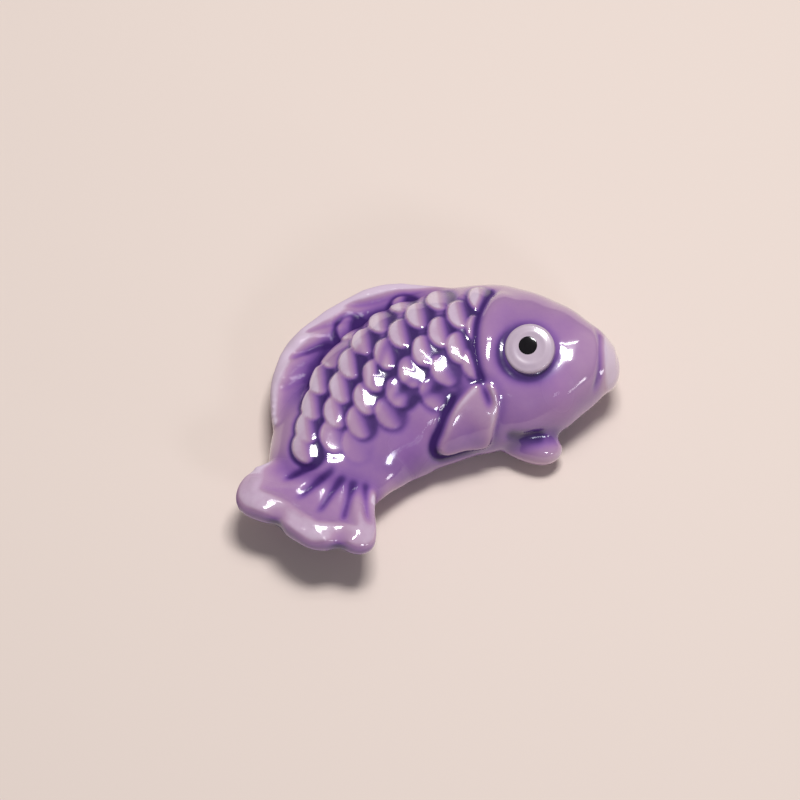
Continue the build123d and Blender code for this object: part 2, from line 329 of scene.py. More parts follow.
# Pelvic fin: a drop at the edge of the belly
lobe = {
    "along": 41.2,
    "reach": 5.9,
    "side": -12.0,
    "outwards": 0.06,
    "radius": 3.3,
    "rear": 0.42,
    "fullness": (-1.0, 0.7),
    "level": 3.7,
}


def makeTail(bm):
    addPlate(bm, tailOutline, tailPlace, tail["thickness"], tail["upperRim"], tail["lowerRim"])


def makeFrill(bm):
    outer = [fishPoint(a * fishLength, s * fish["bodyHalf"])[:2] for a, s in frill["corners"]]
    inner = [fishPoint(a * fishLength, s * fish["bodyHalf"])[:2] for a, s in frill["root"]]
    outer = roundedCorners(outer, frill["radii"], frill["outerPoints"])
    inner = smoothOutline(inner, frill["rootPoints"], closed=False)
    place = Matrix.Translation((0, 0, frill["level"]))
    addPlate(bm, np.vstack([outer, inner]), place, frill["thickness"], frill["upperRim"], frill["lowerRim"])
    for v in bm.verts:
        side = math.hypot(v.co.x, v.co.y + fish["spineRadius"]) - fish["spineRadius"]
        v.co.z -= frill["slope"] * max(0.0, side - fish["bodyHalf"])


def makeLips(bm):
    middle, back, ahead = spineFrame(lips["share"] * fishLength)
    turn = Matrix((back, Vector((0, 0, 1)), ahead)).transposed().to_4x4()
    size = Matrix.Diagonal((lips["breadth"] / 2, lips["height"] / 2, lips["thickness"] / 2, 1))
    place = Matrix.Translation(middle + Vector((0, 0, lips["level"]))) @ turn @ size
    bmesh.ops.create_uvsphere(bm, u_segments=64, v_segments=32, radius=1, matrix=place)


def makeLobe(bm):
    # slender where it leaves the belly, full at its head end
    bmesh.ops.create_uvsphere(bm, u_segments=48, v_segments=32, radius=1)
    for v in bm.verts:
        x, y, z = v.co
        fullness = float(smoothStep(*lobe["fullness"], x))
        radius = lobe["radius"] * (lobe["rear"] + (1 - lobe["rear"]) * fullness)
        side = lobe["side"] - lobe["outwards"] * x * lobe["reach"] + radius * y
        v.co = fishPoint(lobe["along"] + lobe["reach"] * x, side, lobe["level"] + radius * z)


# One clay form from the overlapping shapes, evened and filleted
clay = {
    "voxel": 0.26,
    "evening": 0.4,
    "level": (0.3, 1.2),
    "fillets": 4,
    "fillet": 1.5,
    "hollowReach": 0.9,
    "hollow": (0.02, 0.12),
    "hollowFade": 0.8,
    "plateEvening": 0.8,
    "tailOut": (2.0, 5.0),
    "frillSide": (12.0, 14.0),
    "frillAlong": (34.0, 30.0),
    "normalFade": 0.5,
    "facing": (0.05, 0.4),
}


def makeClay():
    whole = bmesh.new()
    for maker in (makeBody, makeTail, makeFrill, makeLips, makeLobe):
        part = bmesh.new()
        maker(part)
        mesh = bpy.data.meshes.new("shape")
        part.to_mesh(mesh)
        part.free()
        whole.from_mesh(mesh)
        bpy.data.meshes.remove(mesh)
    obj = objectFrom(whole, "glazed_carp")
    remesh = obj.modifiers.new("remesh", "REMESH")
    remesh.mode = "VOXEL"
    remesh.voxel_size = clay["voxel"]
    graph = bpy.context.evaluated_depsgraph_get()
    grown = bpy.data.meshes.new_from_object(obj.evaluated_get(graph))
    obj.modifiers.clear()
    rough = obj.data
    obj.data = grown
    bpy.data.meshes.remove(rough)
    obj.data.name = "glazed_carp"
    return obj


class Surface:
    # points, normals and neighbours of a mesh, for sculpting
    def __init__(self, mesh):
        self.mesh = mesh
        count = len(mesh.vertices)
        self.points = np.empty(count * 3, np.float32)
        mesh.vertices.foreach_get("co", self.points)
        self.points = self.points.reshape(-1, 3).astype(float)
        ends = np.empty(len(mesh.edges) * 2, np.int32)
        mesh.edges.foreach_get("vertices", ends)
        ends = ends.reshape(-1, 2)
        self.near = np.concatenate([ends[:, 0], ends[:, 1]])
        self.far = np.concatenate([ends[:, 1], ends[:, 0]])
        self.links = np.maximum(np.bincount(self.near, minlength=count), 1)
        self.refresh()

    def refresh(self):
        self.mesh.vertices.foreach_set("co", self.points.astype(np.float32).ravel())
        self.mesh.update()
        self.normals = np.empty(len(self.points) * 3, np.float32)
        self.mesh.vertex_normals.foreach_get("vector", self.normals)
        self.normals = self.normals.reshape(-1, 3).astype(float)

    def mean(self, values):
        if values.ndim == 1:
            return np.bincount(self.near, weights=values[self.far], minlength=len(values)) / self.links
        return np.stack([self.mean(values[:, k]) for k in range(values.shape[1])], axis=1)

    def soften(self, values, width, weight=None):
        # spreads values over about that width, in millimetres
        for _ in range(max(1, round(2 * (width / clay["voxel"]) ** 2))):
            blurred = self.mean(values)
            if weight is None:
                values = blurred
            else:
                share = weight if values.ndim == 1 else weight[:, None]
                values = values + share * (blurred - values)
        return values

    def hollowness(self, points, normals, width):
        # how far each point lies below the mean of those round it
        return np.einsum("ij,ij->i", self.soften(points, width) - points, normals)


def lineDistance(points, line):
    # distance of every point to a line through places, and how far along it the nearest place is
    best = np.full(len(points), np.inf)
    share = np.zeros(len(points))
    lengths = np.linalg.norm(np.diff(line, axis=0), axis=1)
    total, before = lengths.sum(), 0.0
    for a, b, length in zip(line[:-1], line[1:], lengths):
        step = (b - a) / length
        t = np.clip((points - a) @ step, 0, length)
        gap = np.linalg.norm(points - a - t[:, None] * step, axis=1)
        closer = gap < best
        best = np.where(closer, gap, best)
        share = np.where(closer, (before + t) / total, share)
        before += length
    return best, share


def insideDistance(points, outline):
    # distance to a closed outline in a plane, positive inside
    closed = np.vstack([outline, outline[:1]])
    gap, _ = lineDistance(points, closed)
    crossings = np.zeros(len(points), int)
    for (ax, ay), (bx, by) in zip(closed[:-1], closed[1:]):
        spans = (ay > points[:, 1]) != (by > points[:, 1])
        if ay != by:
            at = ax + (points[:, 1] - ay) / (by - ay) * (bx - ax)
            crossings += spans & (points[:, 0] < at)
    return np.where(crossings % 2 == 1, gap, -gap)


# Scales: discs that sink towards the head, turned and weaker to the belly, with pools between them.
# A row has its first, middle and last place in shares of the length and of bodyHalf, and its count.
# "faded" says how much of a scale is lost where, as ranges of side and along
scales = {
    "radius": 2.3,
    "tall": 1.24,
    "reachDown": 4.0,
    "levelShare": 0.5,
    "facing": 163.0,
    "lookFrom": (-0.55, -0.95, 2.25),
    "edge": 0.3,
    "edgeOut": 0.06,
    "top": 0.32,
    "rise": (-2.5, 0.8),
    "pale": (-1.9, 0.9),
    "round": 0.012,
    "roundAhead": 0.6,
    "pool": 0.32,
    "poolShare": 0.9,
    "poolReach": 3.4,
    "belly": (1.0, -6.0),
    "bellyTurn": 25.0,
    "bellyLoss": 0.5,
    "bellyShift": (0.7, 0.5),
    "weakest": 0.2,
    "gillClear": (0.1, 0.9),
    "faded": [(0.8, (4.0, -2.0), (11.0, 6.0)), (0.75, (9.0, 10.0), (20.0, 17.0))],
    "rows": [
        ((0.350, 0.910), (0.185, 0.510), (0.057, 0.266), 6),
        ((0.464, 0.876), (0.283, 0.412), (0.107, 0.039), 7),
        ((0.535, 0.704), (0.332, 0.152), (0.111, -0.226), 8),
        ((0.624, 0.593), (0.452, 0.020), (0.256, -0.328), 7),
        ((0.613, 0.141), (0.518, -0.165), (0.423, -0.456), 4),
        ((0.589, -0.278), (0.589, -0.278), (0.589, -0.278), 1),
    ],
}


def scalePlaces():
    places = []
    for first, middle, last, count in scales["rows"]:
        for number in range(count):
            t = number / max(count - 1, 1)
            weights = ((1 - t) * (1 - 2 * t), 4 * t * (1 - t), t * (2 * t - 1))
            ends = zip(weights, (first, middle, last))
            along, side = sum(np.array(end) * weight for weight, end in ends)
            places.append((along * fishLength, side * fish["bodyHalf"]))
    return places


def skinSeat(tree, along, side, above=40.0, stepIn=0.2):
    # point and normal of the skin over a place of the plan, or beside it where that lies off the rim
    point = None
    while point is None:
        point, normal, _, _ = tree.ray_cast(fishPoint(along, side, above), Vector((0, 0, -1)))
        side -= math.copysign(stepIn, side)
    return np.array(point), np.array(normal)


def gillGap(points):
    # distance outside the circle that the gill line follows, and the turn along it from its middle
    middle, back, ahead = spineFrame(arcLength)
    centre = middle + ahead * gill["ahead"] + back * gill["side"]
    offset = points[:, :2] - np.array(centre[:2])
    turn = np.degrees(np.arctan2(offset[:, 1], offset[:, 0])) % 360
    return np.hypot(offset[:, 0], offset[:, 1]) - gill["radius"], turn - (fish["gillAngle"] + 90)


def carveScales(surface, tree):
    # the highest of all the discs at each point, over a floor that is sunk between them
    points = surface.points
    radius, pool, weakest = scales["radius"], scales["pool"], scales["weakest"]
    relief = np.full(len(points), -pool)
    pale = np.zeros(len(points))
    zone = np.zeros(len(points))
    for along, side in scalePlaces():
        belly = float(smoothStep(*scales["belly"], side))
        strength = 1 - scales["bellyLoss"] * belly
        for loss, sides, alongs in scales["faded"]:
            strength *= 1 - loss * float(smoothStep(*sides, side) * smoothStep(*alongs, along))
        heading = math.radians(scales["facing"] + scales["bellyTurn"] * belly)
        facing = np.array((math.cos(heading), math.sin(heading), 0))
        seat, normal = skinSeat(tree, along, side)
        normal = normal + np.array(scales["lookFrom"])
        normal /= np.linalg.norm(normal)
        forward = facing - normal * (facing @ normal)
        forward /= np.linalg.norm(forward)
        across = np.cross(normal, forward)
        offset = points - seat
        a, b, c = offset @ forward, offset @ across / scales["tall"], offset @ normal
        reach = np.sqrt(a**2 + b**2 + (scales["levelShare"] * c) ** 2)
        nearby = smoothStep(scales["poolReach"], radius * scales["poolShare"], reach)
        zone = np.maximum(zone, strength * nearby)
        edge = smoothStep(radius + scales["edgeOut"], radius - scales["edge"], np.hypot(a, b))
        shift = [share * belly for share in scales["bellyShift"]]
        rise = smoothStep(*np.add(scales["rise"], shift), a) * (scales["top"] + pool)
        dome = scales["round"] * ((a - scales["roundAhead"]) ** 2 + b**2)
        disc = edge * np.maximum(rise - dome, 0) * (weakest + (1 - weakest) * strength) - pool
        higher = (np.abs(c) < scales["reachDown"]) & (disc > relief)
        relief = np.where(higher, disc, relief)
        pale = np.where(higher, smoothStep(*np.add(scales["pale"], shift), a) * edge, pale)
    zone *= smoothStep(*scales["gillClear"], gillGap(points)[0])
    return relief * zone, (pale * (tints["scale"] + tints["pool"]) - tints["pool"]) * zone


# Soft unevenness of a hand-pressed form: waves, a saddle filled above the tail, a trough across it, and a
# brow pressed flat before the eye. Levels are where they fade in over the table
swell = {"height": 0.1, "along": 9.0, "across": 7.5, "phases": (0.8, 2.1), "level": (0.5, 3.0)}
saddle = {"along": 0.5, "side": 0.0, "reach": 4.2, "breadth": 7.0, "height": 1.5}
brow = {"along": 46.8, "side": -0.6, "reach": 4.5, "breadth": 2.8, "height": -0.48}
trough = {"along": 3.5, "side": -1.0, "reach": 4.0, "breadth": 6.0, "bend": 0.02, "lowest": -2.4}
formLevel = (3.0, 6.0)


def formShare(form, along, side):
    # 1 in the middle of a form, falling off along and across
    return bell(along - form["along"], form["reach"]) * bell(side - form["side"], form["breadth"])


def swellForm(points):
    along, side = fishCoords(points)
    raised = trough["bend"] * (side - trough["lowest"]) ** 2 * formShare(trough, along, side)
    for form in (saddle, brow):
        raised += form["height"] * formShare(form, along, side)
    waves = np.sin(2 * math.pi * along / swell["along"] + swell["phases"][0])
    waves *= np.sin(2 * math.pi * side / swell["across"] + swell["phases"][1])
    waves *= swell["height"] * smoothStep(*swell["level"], points[:, 2])
    return waves + raised * smoothStep(*formLevel, points[:, 2])


# Eye: a domed button in a groove. Its lean is 1 on its rear and belly side, where the skin is hollowed, and
# -1 before it, where the skin is mounded
eye = {
    "ahead": 4.4,
    "side": -1.4,
    "radius": 3.9,
    "dome": 0.3,
    "domePower": 0.9,
    "domeSteps": 56,
    "spinSteps": 72,
    "rim": 0.8,
    "roundWidth": 0.5,
    "roundDrop": 0.45,
    "wall": -0.2,
    "depth": 1.4,
    "ring": (0.11, 2.6, 0.5),
    "bellyLean": 0.2,
    "rearLean": 0.17,
    "reachDown": 4.0,
    "leanRear": 0.6,
    "leanBelly": 0.8,
    "groove": (-0.4, 0.5, 0.8),
    "hollow": (-0.25, 1.5, 1.2),
    "hollowEven": 0.3,
    "mound": 0.3,
    "moundLean": (-0.2, -0.9),
    "moundOut": (6.0, 4.3),
}

# Gill line: a stretch of a circle, with a low ridge inside it
gill = {
    "radius": 19.1,
    "ahead": 15.0,
    "side": 0.5,
    "span": 68.0,
    "fade": (2.0, -6.0),
    "line": (-0.75, 0.0, 0.6),
    "ridge": (0.3, -2.2, 1.5),
    "facing": (0.0, 0.3),
}


def eyeSeat(tree):
    # the button leans to the belly and to the gill
    seat, normal = skinSeat(tree, arcLength + eye["ahead"], eye["side"])
    _, back, ahead = spineFrame(arcLength)
    normal = normal - eye["bellyLean"] * np.array(back) - eye["rearLean"] * np.array(ahead)
    return seat, normal / np.linalg.norm(normal)


def eyeReach(points, tree):
    # distance from the eye's axis, level over its seat, and lean to the rear and the belly
    seat, normal = eyeSeat(tree)
    reach = points - seat
    level = reach @ normal
    radial = np.linalg.norm(reach - level[:, None] * normal, axis=1)
    _, back, ahead = spineFrame(arcLength)
    towards = -np.array(ahead) * eye["leanRear"] - np.array(back) * eye["leanBelly"]
    least = 0.1  # keeps the axis itself out of the division
    return radial, level, (reach @ towards) / np.maximum(radial, least)


def carveHead(surface, tree):
    gap, turn = gillGap(surface.points)
    window = smoothStep(*(gill["span"] / 2 + edge for edge in gill["fade"]), np.abs(turn))
    relief = (stripe(gill["line"], gap) + stripe(gill["ridge"], gap)) * window
    radial, level, lean = eyeReach(surface.points, tree)
    out = radial - eye["radius"]
    shade = eye["hollowEven"] + (1 - eye["hollowEven"]) * np.clip(lean, 0, 1)
    socket = eye["mound"] * within(eye, moundLean=lean, moundOut=radial)
    socket += stripe(eye["groove"], out) + stripe(eye["hollow"], out) * shade
    relief += np.where(np.abs(level) < eye["reachDown"], socket, 0)
    return relief * within(gill, facing=surface.normals[:, 2])


# Lines pressed into the skin, and crests raised between them on the frill: places by along and side, width
# and depth, and the shares of a line over which its ends fade
creases = {
    "lip": ([(51.3, 4.6), (52.1, 2.0), (52.4, -0.6), (52.2, -3.2), (51.4, -5.6)], 0.6, 0.5),
    "lobe": ([(37.6, -12.7), (39.8, -12.4), (42.0, -12.0), (44.4, -11.6)], 0.9, 0.45),
    "frillFront": ([(29.0, 14.0), (26.1, 15.2), (22.4, 15.9), (19.9, 17.6)], 0.6, 0.7),
    "frillMiddle": ([(20.4, 14.4), (17.6, 15.9), (15.2, 17.4)], 0.6, 0.65),
    "frillRear": ([(17.2, 13.2), (14.6, 14.2), (12.2, 15.6)], 0.6, 0.65),
    "frillEnd": ([(12.6, 11.0), (10.6, 11.9), (8.8, 13.0)], 0.6, 0.4),
    "channel": (
        [(29.5, 12.6), (26.5, 13.2), (22.0, 13.4), (17.0, 12.6), (12.5, 11.2), (9.0, 9.4), (6.0, 7.6)],
        1.2,
        0.9,
    ),
}
crests = {
    "front": ([(27.4, 16.4), (24.0, 17.4), (20.8, 17.0), (17.4, 18.2)], 1.1, 0.4),
    "middle": ([(19.4, 15.4), (16.4, 16.2), (13.4, 16.6)], 1.0, 0.5),
    "rear": ([(14.2, 13.8), (11.6, 14.3), (9.4, 14.0)], 1.0, 0.45),
}
lineEnds = {"relief": ((-0.05, 0.22), (1.05, 0.78)), "tint": ((0.0, 0.2), (1.0, 0.8))}


def seatLine(tree, line, count=24):
    # the line's places on the skin
    curve = smoothOutline(line, count, closed=False)
    return np.array([skinSeat(tree, along, side)[0] for along, side in curve])


def pressLines(surface, tree):
    relief = np.zeros(len(surface.points))
    for table, sign in ((creases, -1), (crests, 1)):
        for line, width, depth in table.values():
            gap, share = lineDistance(surface.points, seatLine(tree, line))
            relief += sign * depth * bell(gap, width) * between(lineEnds["relief"], share)
    return relief


# Pectoral fin: a raised petal on the belly side of the flank, in a moat that is deeper at its rear
petal = {
    "rise": 0.6,
    "edge": 0.4,
    "rear": (2.0, -3.0),
    "moat": (1.0, -0.8, 0.7),
    "moatDepths": (0.08, 0.55),
    "skin": (-3.5, -2.0),
    "facing": (-0.1, 0.2),
    "along": 0.525,
    "side": -0.765,
    "level": 11.6,
    "slope": 44.0,
    "length": 10.4,
    "height": 11.4,
    "outlinePoints": 80,
    "outline": [
        (0.36, 0.44),
        (-0.06, 0.29),
        (-0.39, -0.09),
        (-0.52, -0.38),
        (-0.48, -0.45),
        (-0.12, -0.49),
        (0.22, -0.51),
        (0.36, -0.21),
        (0.48, 0.17),
        (0.46, 0.36),
    ],
}
petalTint = {
    "face": -0.04,
    "upper": -0.2,
    "upperAt": (-4.0, 4.0),
    "rim": (-0.1, 0.6, 0.5),
    "moat": (1.0, -0.7, 0.8),
    "moatDepths": (0.1, 0.4),
    "inside": (-0.2, 0.4),
}


def petalMoat(settings, gap, rear):
    # the moat all round, and as much more at the rear
    even, more = settings["moatDepths"]
    return (even + more * rear) * stripe(settings["moat"], gap)


def raisePetal(surface):
    _, back, ahead = spineFrame(petal["along"] * fishLength)
    slope = math.radians(petal["slope"])
    outward = back * -math.cos(slope) + Vector((0, 0, math.sin(slope)))
    up = outward.cross(ahead)
    origin = fishPoint(petal["along"] * fishLength, petal["side"] * fish["bodyHalf"], petal["level"])
    offset = surface.points - np.array(origin)
    flat = np.stack([offset @ np.array(ahead), offset @ np.array(up)], axis=1)
    places = [(x * petal["length"], y * petal["height"]) for x, y in petal["outline"]]
    gap = insideDistance(flat, smoothOutline(places, petal["outlinePoints"]))
    onSide = within(petal, skin=offset @ np.array(outward), facing=surface.normals @ np.array(outward))
    rear = within(petal, rear=flat[:, 0])
    relief = petal["rise"] * smoothStep(-petal["edge"], petal["edge"], gap) - petalMoat(petal, gap, rear)
    # thin glaze round the rim, deep in the moat and paler to the upper end
    depth = petalTint["face"] + petalTint["upper"] * within(petalTint, upperAt=flat[:, 0] + flat[:, 1])
    depth += stripe(petalTint["rim"], gap)
    inside = within(petalTint, inside=gap)
    depth = inside * depth + (1 - inside) * petalMoat(petalTint, gap, rear)
    return relief * onSide, depth * onSide


def tailFlat(points, normals):
    # place in the tail's own plane, and how far the skin there faces up from it
    offset = points - np.array(tailOrigin)
    return offset @ np.array(tailward), offset @ np.array(tailBack), normals @ np.array(tailUp)


def rayLines(x, y, leadIn):
    # 1 along the rays, which fan out from one point and fade at both ends
    apexX, apexY = tail["rayApex"][0] * tail["length"], tail["rayApex"][1] * tail["half"]
    radius = np.hypot(x - apexX, y - apexY)
    start, end = tail["rayMiddle"] - tail["rayLength"] / 2, tail["rayMiddle"] + tail["rayLength"] / 2
    fade = between(((start, start + leadIn), (end, end - tail["rayRunOut"])), radius)
    lines = np.zeros(len(x))
    for ray in range(tail["rays"]):
        heading = math.radians(tail["rayFirst"] - ray * tail["rayStep"])
        across = (y - apexY) * math.cos(heading) - (x - apexX) * math.sin(heading)
        lines = np.maximum(lines, bell(across, tail["rayWidth"]) * fade)
    return lines


def tailFolds(x, y):
    # 1 along the folds that run in from the tail's edge
    lines = np.zeros(len(x))
    for (foldX, foldY), heading in tail["folds"]:
        turn = math.radians(heading)
        inward = (x - foldX) * math.cos(turn) + (y - foldY) * math.sin(turn)
        across = (y - foldY) * math.cos(turn) - (x - foldX) * math.sin(turn)
        lines = np.maximum(lines, bell(across, tail["foldWidth"]) * smoothStep(*tail["foldFade"], inward))
    return lines


def pressTail(surface):
    x, y, facing = tailFlat(surface.points, surface.normals)
    gap, share = lineDistance(np.stack([x, y], axis=1), tailOutline)
    relief = (stripe(tail["roll"], gap) + stripe(tail["dish"], gap)) * between(tail["rimEnds"], share)
    relief -= tail["rayDepth"] * rayLines(x, y, tail["rayLeadIn"])
    relief *= within(tail, facing=facing)
    relief -= tail["foldDepth"] * tailFolds(x, y)
    return relief * within(tail, root=x)


# Glaze: its own surface flows over the clay's relief and fills the narrow hollows by a share
flow = {"reach": 0.25, "wide": 0.9, "filled": 0.5, "edge": 0.14, "tintFade": 0.15}

# Where the glaze is dull: on the frill, at the tail's root, on the belly, on the cheek and in hollows
dull = {
    "frill": 0.9,
    "frillSide": (10.0, 12.0),
    "frillAlong": (33.0, 29.0),
    "root": (1.0, 1.5, 2.6),
    "rootAlong": (2.5, 0.5),
    "belly": (1.0, -9.6, 2.6),
    "bellyAlong": ((8.0, 10.0), (22.0, 18.0)),
    "cheek": (45.8, -6.7),
    "cheekReach": 2.5,
    "hollow": 0.9,
    "hollowReach": 0.7,
    "hollowDepth": (0.035, 0.12),
    "most": 0.95,
}


def evenClay(surface):
    aboveFloor = within(clay, level=surface.points[:, 2])
    surface.points = surface.soften(surface.points, clay["evening"], aboveFloor)
    surface.refresh()
    for _ in range(clay["fillets"]):
        hollow = surface.hollowness(surface.points, surface.normals, clay["hollowReach"])
        share = surface.soften(within(clay, hollow=hollow), clay["hollowFade"])
        surface.points = surface.soften(surface.points, clay["fillet"], share * aboveFloor)
        surface.refresh()
    # the thin plates are evened once more
    along, side = fishCoords(surface.points)
    onTail = within(clay, tailOut=tailFlat(surface.points, surface.normals)[0])
    onPlate = np.maximum(onTail, within(clay, frillSide=side, frillAlong=along))
    surface.points = surface.soften(surface.points, clay["plateEvening"], onPlate * aboveFloor)
    surface.refresh()


def glazeGloss(surface, base, normals):
    # 1 where the glaze shines, down to nearly 0 where it is dull
    along, side = fishCoords(base)
    onFrill = within(dull, frillSide=side, frillAlong=along)
    onRoot = stripe(dull["root"], tailFlat(base, normals)[0]) * within(dull, rootAlong=along)
    onBelly = between(dull["bellyAlong"], along) * stripe(dull["belly"], side)
    cheekAlong, cheekSide = dull["cheek"]
    onCheek = bell(along - cheekAlong, dull["cheekReach"]) * bell(side - cheekSide, dull["cheekReach"])
    hollow = surface.hollowness(surface.points, surface.normals, dull["hollowReach"])
    amount = dull["frill"] * np.maximum(onFrill, onRoot) + onBelly + onCheek
    amount += dull["hollow"] * within(dull, hollowDepth=hollow)
    return 1 - np.clip(amount, 0, dull["most"])


def keepAttribute(mesh, name, values):
    attribute = mesh.attributes.new(name, "FLOAT", "POINT")
    attribute.data.foreach_set("value", values.astype(np.float32))


def buildCarp():
    obj = makeClay()
    surface = Surface(obj.data)
    print("clay form:", len(surface.points), "points")
    evenClay(surface)
    base = surface.points.copy()
    normals = surface.soften(surface.normals, clay["normalFade"])
    normals /= np.linalg.norm(normals, axis=1)[:, None]
    faces = [tuple(p.vertices) for p in obj.data.polygons]
    tree = BVHTree.FromPolygons([Vector(p) for p in base], faces)

    upward = within(clay, facing=normals[:, 2])
    scaled, scaleThin = carveScales(surface, tree)
    raised, petalDepth = raisePetal(surface)
    relief = scaled * upward + raised + carveHead(surface, tree) + pressTail(surface)
    relief += pressLines(surface, tree) * upward + swellForm(base)
    print("relief from", round(float(relief.min()), 2), "to", round(float(relief.max()), 2))

    soft = surface.soften(relief, flow["reach"])
    broad = surface.soften(relief, flow["wide"])
    inHollow = smoothStep(flow["edge"], -flow["edge"], soft - broad)
    surface.points = base + normals * (soft + flow["filled"] * (broad - soft) * inHollow)[:, None]
    surface.points[:, 2] = np.maximum(surface.points[:, 2], foot["thickness"] * foot["sunkShare"])
    surface.refresh()

    depth = glazeDepthAndShade(surface, tree, base, normals, relief) + petalDepth - scaleThin * upward
    keepAttribute(obj.data, "glazeDepthAndShade", surface.soften(depth, flow["tintFade"]))
    keepAttribute(obj.data, "gloss", glazeGloss(surface, base, normals))
    print("glaze laid on the clay")
    return obj, tree


# Depth of the glaze, from 0, thin and pale, to 1, deep and dark, with painted shade added on the tail's
# down-facing sides.
# Each place adds its amount within its ranges: side and along on the fish, level over the table, out on the
# tail, and how far the skin faces up
tints = {
    "plain": 0.5,
    "form": {"amount": 0.5, "reach": 2.4},
    "fine": {"amount": 0.4, "reach": 0.9},
    "scale": 0.3,
    "pool": 0.62,
    "back": {"amount": -0.14, "side": (3.0, 12.0)},
    "frill": {"amount": -0.15, "side": (14.0, 15.5), "along": (31.0, 27.0)},
    "low": {"amount": 0.22, "level": (13.0, 5.0), "side": (0.0, -6.0), "along": (3.0, 7.0)},
    "lipBand": {"amount": -0.35, "along": (52.2, 53.7)},
    "spot": {"amount": 0.4, "place": (25.9, 18.1), "radius": 0.6},
    "gill": {"amount": 0.5, "turn": (34.0, 30.0), "facing": (0.1, 0.4), "line": (1.0, 0.2, 0.75)},
    "eyeRing": {"line": (0.55, 0.4, 0.95), "even": 0.7, "lean": 0.3, "leanOut": 0.3},
    "tail": {"amount": -0.17, "out": (1.0, 4.0), "facing": (0.0, 0.5)},
    "tailRim": {"amount": -0.12, "gap": (3.6, 1.4), "out": (4.0, 7.0), "facing": (0.2, 0.7)},
    "tailThinnest": {"amount": 0.08, "out": 3.0},
    "ray": {"amount": 0.33, "facing": (0.3, 0.8), "leadIn": 1.5},
    "fold": {"amount": 0.25, "out": (7.0, 9.0)},
    # painted shade: the tail's sides that face down are darkened as if in shadow, not by deeper glaze
    "tailShadedSide": {"amount": 0.5, "out": (4.0, 7.0), "facing": (0.75, -0.1)},
    "creases": {
        "channel": (0.36, 1.6),
        "lobe": (0.42, 1.2),
        "lip": (0.25, 1.0),
        "frillFront": (0.2, 0.8),
        "frillMiddle": (0.22, 0.8),
        "frillRear": (0.22, 0.8),
    },
}


def tint(name, **values):
    return tints[name]["amount"] * within(tints[name], **values)


def tintFish(surface, base, normals, relief):
    # tints that follow the form and the place on the fish
    along, side = fishCoords(base)
    clayPoints = base + normals * relief[:, None]
    depth = tints["plain"] + tint("form") * surface.hollowness(base, normals, tints["form"]["reach"])
    depth += tint("fine") * surface.hollowness(clayPoints, normals, tints["fine"]["reach"])
    depth += tint("back", side=side) + tint("frill", side=side, along=along) + tint("lipBand", along=along)
    depth += tint("low", level=base[:, 2], side=side, along=along)
    spotAlong, spotSide = tints["spot"]["place"]
    gap = np.hypot(along - spotAlong, side - spotSide)
    return depth + tint("spot") * bell(gap, tints["spot"]["radius"])


def tintHead(tree, base, normals):
    # deep glaze in the gill line and round the eye
    gap, turn = gillGap(base)
    depth = tint("gill", turn=np.abs(turn), facing=normals[:, 2]) * stripe(tints["gill"]["line"], gap)
    radial, level, lean = eyeReach(base, tree)
    ring = tints["eyeRing"]
    out = radial - eye["radius"] - ring["leanOut"] * lean
    ringDepth = stripe(ring["line"], out) * (ring["even"] + ring["lean"] * lean)
    return depth + np.where(np.abs(level) < eye["reachDown"], ringDepth, 0)


def tintTail(depth, base, normals):
    # pale on the tail's face and rim, but never thinner than a share, and deep in its rays and folds; its
    # down-facing sides are darkened as painted shade
    x, y, up = tailFlat(base, normals)
    gap, _ = lineDistance(np.stack([x, y], axis=1), tailOutline)
    depth = depth + tint("tail", out=x, facing=up) + tint("tailRim", gap=gap, out=x, facing=up)
    thinnest = tints["tailThinnest"]
    depth = np.where(x > thinnest["out"], np.maximum(depth, thinnest["amount"]), depth)
    depth += tint("ray", facing=up) * rayLines(x, y, tints["ray"]["leadIn"])
    return depth + tint("fold", out=x) * tailFolds(x, y) + tint("tailShadedSide", out=x, facing=up)


def glazeDepthAndShade(surface, tree, base, normals, relief):
    depth = tintFish(surface, base, normals, relief) + tintHead(tree, base, normals)
    depth = tintTail(depth, base, normals)
    for name, (deeper, reach) in tints["creases"].items():
        gap, share = lineDistance(base, seatLine(tree, creases[name][0]))
        depth += deeper * bell(gap, reach) * between(lineEnds["tint"], share)
    return depth


# Finishes: colours as linear light, sizes of patterns in millimetres. The purple's tones run from thin to
# deep glaze, and their dark end also gives the painted shade on the tail's sides; its patterns have a size
# and a strength, and it is rougher where it is dull
purple = {
    "tones": [
        (0.00, (0.672, 0.527, 0.658)),
        (0.15, (0.480, 0.296, 0.445)),
        (0.35, (0.371, 0.195, 0.402)),
        (0.50, (0.287, 0.138, 0.381)),
        (0.65, (0.195, 0.084, 0.314)),
        (0.80, (0.098, 0.040, 0.202)),
        (1.00, (0.048, 0.018, 0.122)),
    ],
    "patterns": [(5.0, 0.16), (0.7, 0.05)],
    "roughness": 0.12,
    "dullRoughness": 0.45,
    "specular": 0.5,
}
eyeFinish = {
    "tones": [(0.3, (0.52, 0.41, 0.51)), (0.7, (0.57, 0.45, 0.54))],
    "pattern": 1.6,
    "roughness": 0.3,
    "coat": 0.45,
}
pupilFinish = {
    "tones": [(0.35, (0.003, 0.002, 0.003)), (0.75, (0.007, 0.005, 0.007))],
    "pattern": 0.6,
    "roughness": 0.12,
    "coat": 0.3,
}
clayFinish = {
    "tones": [(0.3, (0.62, 0.54, 0.46)), (0.7, (0.74, 0.67, 0.58))],
    "grain": 0.5,
    "grainDetail": 6.0,
    "pit": 0.25,
    "pitDetail": 4.0,
    "pitDepth": 0.1,
    "pitStrength": 0.35,
    "roughness": 0.85,
}


